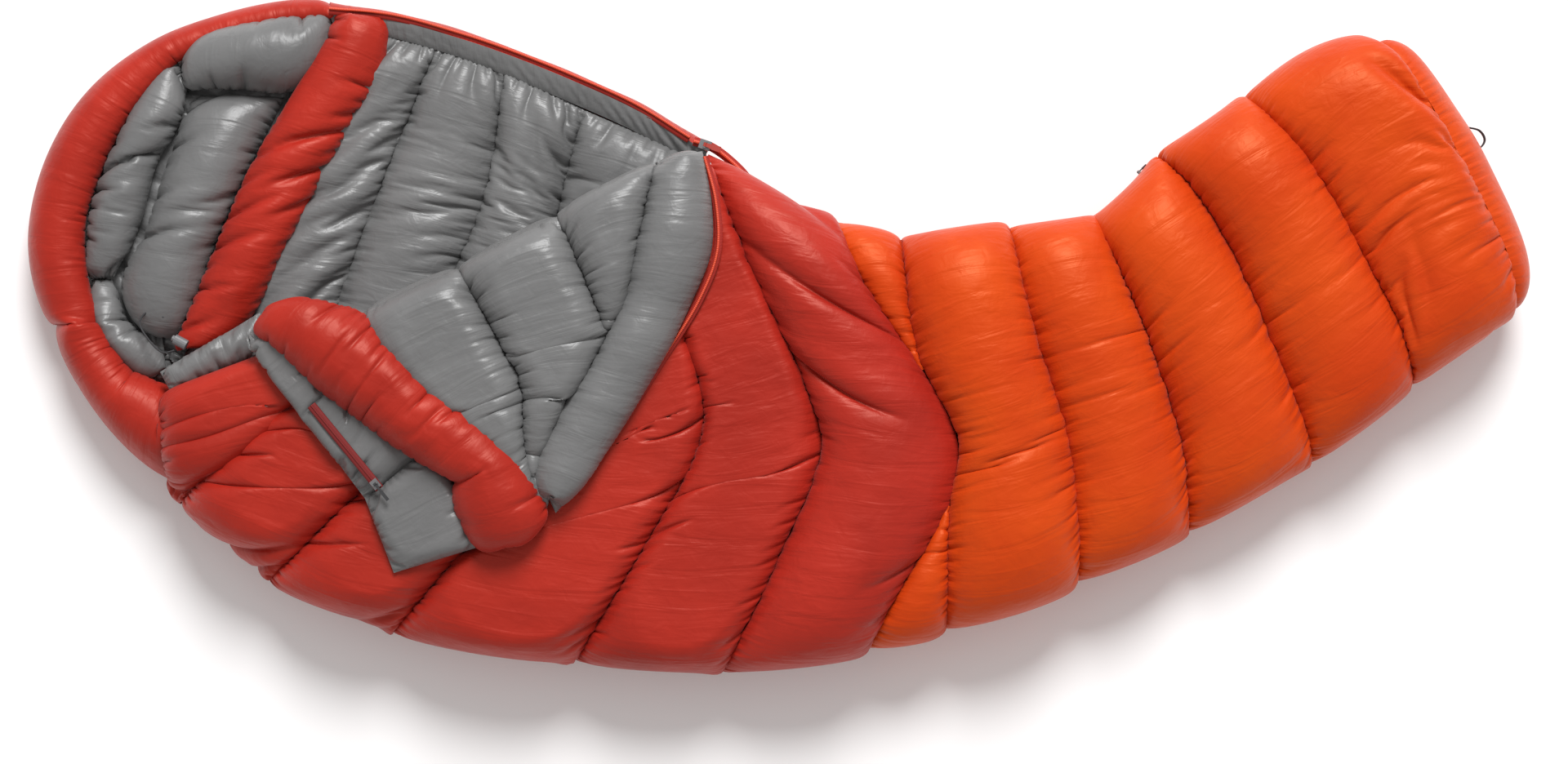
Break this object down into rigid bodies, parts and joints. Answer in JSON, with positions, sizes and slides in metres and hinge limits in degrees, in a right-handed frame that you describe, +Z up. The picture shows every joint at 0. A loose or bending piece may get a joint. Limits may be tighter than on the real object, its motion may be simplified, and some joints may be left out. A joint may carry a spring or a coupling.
{
  "type": "mummy sleeping bag",
  "caption": "Down-filled mummy sleeping bag lying bent, unzipped at the chest with its front flap folded open over the body, hood and collar exposed.",
  "frame": {"origin": "the underside of the middle of the bag, on the floor", "axes": "+X towards the foot end, +Y towards the zip side, +Z up from the floor"},
  "size_m": [2.0173, 0.9131, 0.21],
  "materials": {
    "shell_red": "satin",
    "shell_orange": "satin",
    "lining_grey": "satin",
    "tape_red": "matte",
    "zip_red": "satin",
    "slider_metal": "satin",
    "pull_plastic": "satin",
    "lock_plastic": "satin",
    "cord_dark": "matte"
  },
  "bodies": {
    "bag": {"foot_cap": "shell_orange", "front_leg_1": "shell_orange", "front_leg_2": "shell_orange", "front_leg_3": "shell_orange", "front_leg_4": "shell_orange", "front_leg_5": "shell_orange", "back_leg_1": "shell_orange", "back_leg_2": "shell_orange", "back_leg_3": "shell_orange", "back_leg_4": "shell_orange", "back_leg_5": "shell_orange", "front_gusset_zip_side": "shell_orange", "front_gusset_low_side": "shell_orange", "front_torso_1": "shell_red", "front_torso_2": "shell_red", "back_torso_1": "shell_red", "back_torso_2": "shell_red", "front_chest_1": "shell_red", "front_chest_2": "shell_red", "front_chest_3": "shell_red", "front_chest_4": "shell_red", "back_chest_1": "lining_grey", "back_chest_2": "lining_grey", "back_chest_3": "lining_grey", "back_chest_4": "lining_grey", "hood_shell_top": "shell_red", "hood_shell_side": "shell_red", "hood_shell_low": "shell_red", "hood_back": "lining_grey", "hood_lining_top": "lining_grey", "hood_lining_side": "lining_grey", "hood_lining_low": "lining_grey", "hood_pillow": "lining_grey", "back_collar": "shell_red", "neck_binding": "lining_grey", "zip_tape_back": "tape_red", "zip_coil_back": "zip_red", "zip_tape_closed": "tape_red", "zip_coil_closed": "zip_red", "collar_lock": "lock_plastic", "collar_cord": "cord_dark", "hang_loop": "cord_dark"},
    "flap": {"flap_draft_tube": "lining_grey", "flap_baffle_1": "lining_grey", "flap_baffle_2": "lining_grey", "flap_baffle_3": "lining_grey", "flap_collar": "shell_red", "flap_chin": "lining_grey", "zip_tape_flap": "tape_red", "zip_coil_flap": "zip_red", "pocket_zip_tape": "shell_red", "pocket_zip_coil": "zip_red"},
    "main_slider": {"main_slider": "slider_metal"},
    "main_pull": {"main_pull": "pull_plastic"},
    "lower_slider": {"lower_slider": "slider_metal"},
    "lower_pull": {"lower_pull": "cord_dark"},
    "pocket_slider": {"pocket_slider": "slider_metal"},
    "pocket_pull": {"pocket_pull": "cord_dark"},
    "lock_button": {"collar_lock_button": "lock_plastic"}
  },
  "joints": [
    {"name": "flap_fold", "type": "hinge", "parent": "bag", "child": "flap", "pos_m": [-0.1, 0.257, 0.158], "axis": [-0.9169, -0.3991, 0], "range_deg": [0, 178]},
    {"name": "main_slider_run", "type": "slide", "parent": "bag", "child": "main_slider", "axis": [0.9455, -0.3256, 0], "range_m": [0, 0.034]},
    {"name": "main_pull_swing", "type": "hinge", "parent": "main_slider", "child": "main_pull", "pos_m": [-0.09654, 0.26074, 0.0892], "axis": [-0.3256, -0.9455, 0], "range_deg": [0, 165]},
    {"name": "lower_slider_run", "type": "slide", "parent": "bag", "child": "lower_slider", "axis": [-0.7193, -0.6947, 0], "range_m": [0, 0.042]},
    {"name": "lower_pull_swing", "type": "hinge", "parent": "lower_slider", "child": "lower_pull", "pos_m": [0.48877, 0.2243, 0.08], "axis": [0, 0, 1], "range_deg": [0, 165]},
    {"name": "pocket_slider_run", "type": "slide", "parent": "flap", "child": "pocket_slider", "axis": [-0.6332, 0.774, 0], "range_m": [0, 0.12]},
    {"name": "pocket_pull_swing", "type": "hinge", "parent": "pocket_slider", "child": "pocket_pull", "pos_m": [-0.5272, -0.1936, 0.19136], "axis": [-0.774, -0.6332, 0], "range_deg": [0, 165]},
    {"name": "lock_button_press", "type": "slide", "parent": "bag", "child": "lock_button", "axis": [0.8829, -0.4695, 0], "range_m": [0, 0.003], "stiffness_N_per_m": 400}
  ]
}
